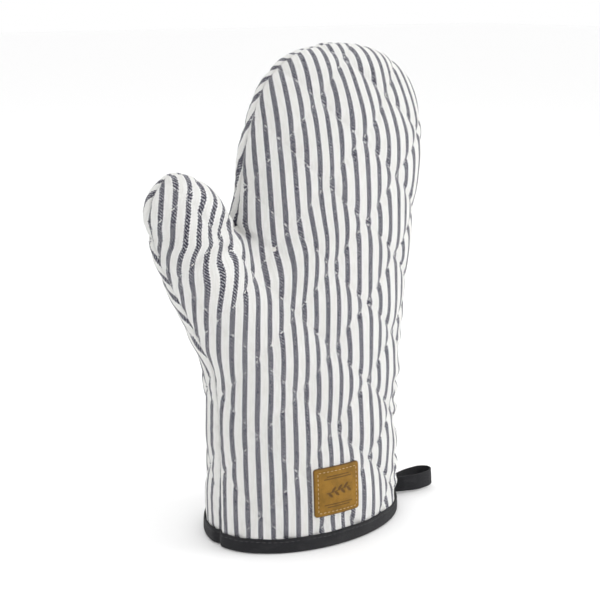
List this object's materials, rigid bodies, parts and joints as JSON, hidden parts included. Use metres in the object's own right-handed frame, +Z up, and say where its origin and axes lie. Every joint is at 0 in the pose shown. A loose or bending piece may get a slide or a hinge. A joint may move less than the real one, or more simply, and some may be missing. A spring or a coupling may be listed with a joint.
{
  "type": "oven mitt",
  "caption": "Quilted oven mitt with a thumb, striped cotton outer, plain lining, bound cuff, leather label and side hanging loop.",
  "frame": {"origin": "midway between the two side seams, in the plane that the open cuff stands on", "axes": "+Z up through the hand pocket to the finger tips, +X towards the little-finger side and the hanging loop, -Y out of the front panel that carries the label"},
  "size_m": [0.2154, 0.1035, 0.2983],
  "materials": {
    "striped_cotton": "woven cotton with narrow dark stripes",
    "wadding": "lofted fibre wadding",
    "lining_cotton": "plain woven cotton",
    "white_thread": "white sewing thread",
    "black_binding": "black cotton twill tape",
    "black_thread": "black sewing thread",
    "leather": "tan leather with a matt grain",
    "label_thread": "pale tan sewing thread"
  },
  "bodies": {
    "mitt": {"front_shell": "striped_cotton", "palm_shell": "striped_cotton", "front_wadding": "wadding", "palm_wadding": "wadding", "front_lining": "lining_cotton", "palm_lining": "lining_cotton", "front_quilting_thread": "white_thread", "palm_quilting_thread": "white_thread", "turned_seam_allowance": "lining_cotton", "cuff_binding": "black_binding", "binding_stitching": "black_thread", "leather_label": "leather", "label_stitching": "label_thread", "loop_tail": "black_binding"},
    "loop": {"hanging_loop": "black_binding"}
  },
  "joints": [
    {"name": "loop_swing", "type": "hinge", "parent": "mitt", "child": "loop", "pos_m": [0.0689, 0, 0.00675], "axis": [0, 0, 1], "range_deg": [-70, 75], "stiffness_Nm_per_rad": 0.004}
  ]
}
